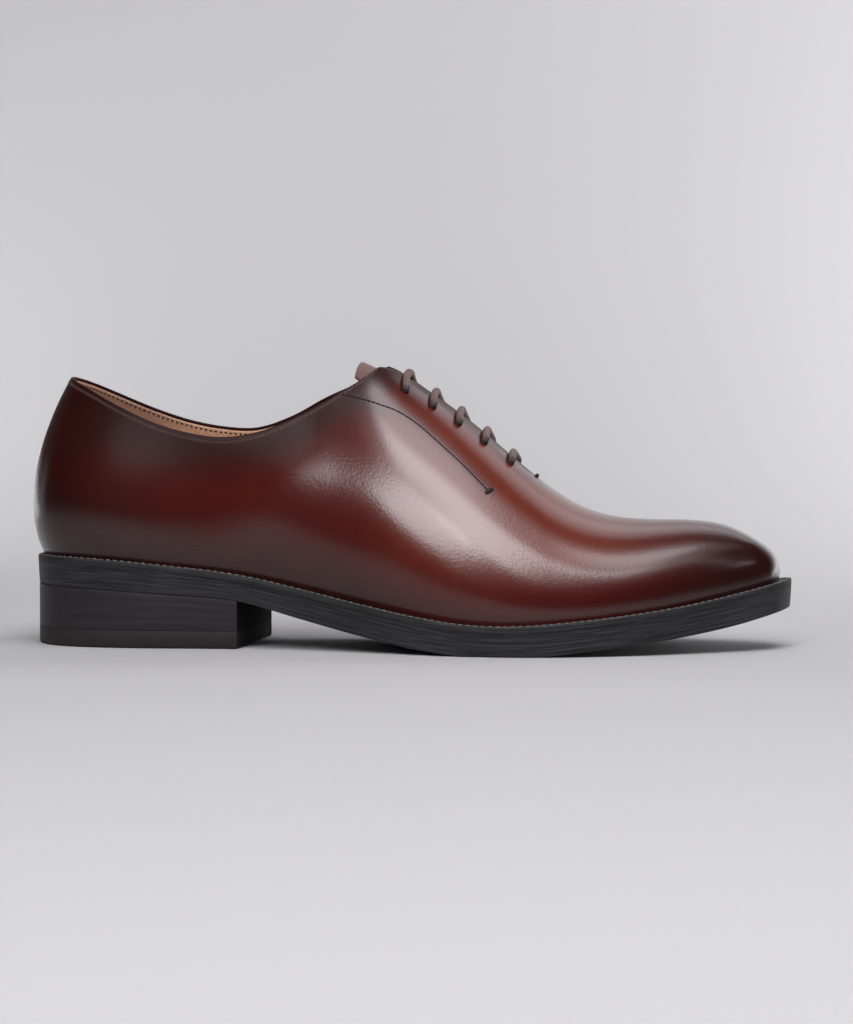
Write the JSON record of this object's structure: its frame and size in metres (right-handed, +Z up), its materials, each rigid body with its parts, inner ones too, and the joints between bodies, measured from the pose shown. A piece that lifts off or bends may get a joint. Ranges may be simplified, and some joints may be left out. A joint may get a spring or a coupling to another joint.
{
  "type": "oxford shoe",
  "caption": "Right men's dress shoe in burnished dark red-brown leather, plain toe, closed lacing, black welted leather sole with a stacked heel and rubber top lift.",
  "frame": {"origin": "on the floor under the middle of the shoe's bounding box", "axes": "+X from heel to toe, +Y to the inner side of the foot (the wearer's left), +Z up"},
  "size_m": [0.3085, 0.107, 0.1148],
  "materials": {
    "upper_leather": "polished",
    "tongue_leather": "satin",
    "lining_leather": "matte",
    "sole_leather": "satin",
    "heel_rubber": "matte",
    "lace_cotton": "matte"
  },
  "bodies": {
    "root": {"upper": "upper_leather", "tongue": "tongue_leather", "insole": "lining_leather", "welt": "sole_leather", "outsole": "sole_leather", "heel_stack": "sole_leather", "heel_top_lift": "heel_rubber", "lace_bar_1": "lace_cotton", "lace_bar_2": "lace_cotton", "lace_bar_3": "lace_cotton", "lace_bar_4": "lace_cotton", "lace_bar_5": "lace_cotton"}
  },
  "joints": []
}
